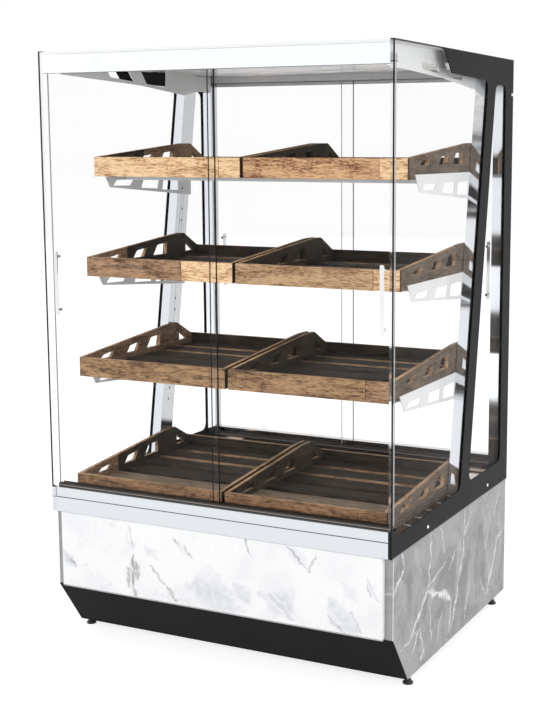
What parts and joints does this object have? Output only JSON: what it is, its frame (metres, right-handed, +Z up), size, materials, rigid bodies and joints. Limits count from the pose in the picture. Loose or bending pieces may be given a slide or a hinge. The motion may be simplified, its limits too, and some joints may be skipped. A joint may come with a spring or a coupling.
{
  "type": "refrigerated display case",
  "caption": "Upright refrigerated bakery display case with marble-look base, glass sides, sliding glass doors front and rear, leaning uprights and wooden trays.",
  "frame": {"origin": "centre of the footprint at floor level, under the levelling feet", "axes": "+X to the right seen from the front, +Y to the back, +Z up"},
  "size_m": [0.9, 0.76, 1.415],
  "materials": {
    "marble_board": "White marble-effect board with grey veins, satin",
    "clear_glass": "Clear tempered glass",
    "black_frame": "Satin black powder coat",
    "polished_steel": "Mirror-polished stainless steel",
    "bracket_steel": "Light grey coated sheet steel",
    "handle_steel": "Satin stainless steel",
    "tray_wood": "Rustic brown stained wood, worn edges",
    "silver_aluminium": "Satin anodised aluminium",
    "white_header": "White powder coat",
    "black_plastic": "Black plastic",
    "track_plastic": "Dark grey extruded plastic",
    "lamp_cover": "Opal diffuser",
    "insulated_liner": "White plastic liner over foam",
    "dark_steel": "Dark coated steel",
    "coil_aluminium": "Plain aluminium fins on copper tubes"
  },
  "bodies": {
    "cabinet": {"side_panel_left": "marble_board", "side_glass_left": "clear_glass", "side_frame_left": "black_frame", "front_upright_left": "polished_steel", "rear_upright_left": "polished_steel", "roof_arm_left": "polished_steel", "shelf_brackets_left": "bracket_steel", "side_panel_right": "marble_board", "side_glass_right": "clear_glass", "side_frame_right": "black_frame", "front_upright_right": "polished_steel", "rear_upright_right": "polished_steel", "roof_arm_right": "polished_steel", "shelf_brackets_right": "bracket_steel", "front_panel": "marble_board", "kick_panel": "black_frame", "base_frame": "dark_steel", "back_panel": "dark_steel", "levelling_feet": "black_plastic", "cooling_well": "insulated_liner", "deck": "polished_steel", "front_profile": "silver_aluminium", "rear_profile": "polished_steel", "front_track_lower": "track_plastic", "front_track_upper": "track_plastic", "rear_track_lower": "track_plastic", "rear_track_upper": "track_plastic", "edge_trims": "black_plastic", "frame_screws": "handle_steel", "header_front": "white_header", "roof_panel": "white_header", "ceiling_plate": "polished_steel", "lamp_housing": "silver_aluminium", "lamp_diffuser": "lamp_cover", "shelf_rails": "bracket_steel", "compressor": "dark_steel", "condenser": "coil_aluminium", "condenser_motor": "dark_steel", "evaporator": "coil_aluminium", "evaporator_motor": "dark_steel", "drip_tray": "black_plastic", "power_inlet": "black_plastic"},
    "front_door_left": {"front_door_left": "clear_glass", "front_handle_left": "handle_steel"},
    "front_door_right": {"front_door_right": "clear_glass", "front_handle_right": "handle_steel"},
    "rear_door_left": {"rear_door_left": "clear_glass", "rear_handle_left": "handle_steel"},
    "rear_door_right": {"rear_door_right": "clear_glass", "rear_handle_right": "handle_steel"},
    "condenser_fan": {"condenser_fan": "black_plastic"},
    "evaporator_fan": {"evaporator_fan": "black_plastic"},
    "tray_upper_left": {"tray_upper_left": "tray_wood"},
    "tray_upper_right": {"tray_upper_right": "tray_wood"},
    "tray_middle_left": {"tray_middle_left": "tray_wood"},
    "tray_middle_right": {"tray_middle_right": "tray_wood"},
    "tray_lower_left": {"tray_lower_left": "tray_wood"},
    "tray_lower_right": {"tray_lower_right": "tray_wood"},
    "tray_deck_left": {"tray_deck_left": "tray_wood"},
    "tray_deck_right": {"tray_deck_right": "tray_wood"}
  },
  "joints": [
    {"name": "front_door_left_slide", "type": "slide", "parent": "cabinet", "child": "front_door_left", "axis": [1, 0, 0], "range_m": [0, 0.395]},
    {"name": "front_door_right_slide", "type": "slide", "parent": "cabinet", "child": "front_door_right", "axis": [1, 0, 0], "range_m": [-0.395, 0]},
    {"name": "rear_door_left_slide", "type": "slide", "parent": "cabinet", "child": "rear_door_left", "axis": [1, 0, 0], "range_m": [0, 0.355]},
    {"name": "rear_door_right_slide", "type": "slide", "parent": "cabinet", "child": "rear_door_right", "axis": [1, 0, 0], "range_m": [-0.355, 0]},
    {"name": "tray_upper_left_lift", "type": "slide", "parent": "cabinet", "child": "tray_upper_left", "axis": [0, 0, 1], "range_m": [0, 0.06]},
    {"name": "tray_upper_right_lift", "type": "slide", "parent": "cabinet", "child": "tray_upper_right", "axis": [0, 0, 1], "range_m": [0, 0.06]},
    {"name": "tray_middle_left_lift", "type": "slide", "parent": "cabinet", "child": "tray_middle_left", "axis": [0, 0, 1], "range_m": [0, 0.06]},
    {"name": "tray_middle_right_lift", "type": "slide", "parent": "cabinet", "child": "tray_middle_right", "axis": [0, 0, 1], "range_m": [0, 0.06]},
    {"name": "tray_lower_left_lift", "type": "slide", "parent": "cabinet", "child": "tray_lower_left", "axis": [0, 0, 1], "range_m": [0, 0.06]},
    {"name": "tray_lower_right_lift", "type": "slide", "parent": "cabinet", "child": "tray_lower_right", "axis": [0, 0, 1], "range_m": [0, 0.06]},
    {"name": "tray_deck_left_lift", "type": "slide", "parent": "cabinet", "child": "tray_deck_left", "axis": [0, 0, 1], "range_m": [0, 0.06]},
    {"name": "tray_deck_right_lift", "type": "slide", "parent": "cabinet", "child": "tray_deck_right", "axis": [0, 0, 1], "range_m": [0, 0.06]},
    {"name": "condenser_fan_spin", "type": "hinge", "parent": "cabinet", "child": "condenser_fan", "pos_m": [-0.15, 0.195, 0.126], "axis": [0, 1, 0], "continuous": true},
    {"name": "evaporator_fan_spin", "type": "hinge", "parent": "cabinet", "child": "evaporator_fan", "pos_m": [0, 0.02, 0.301], "axis": [0, 1, 0], "continuous": true}
  ]
}
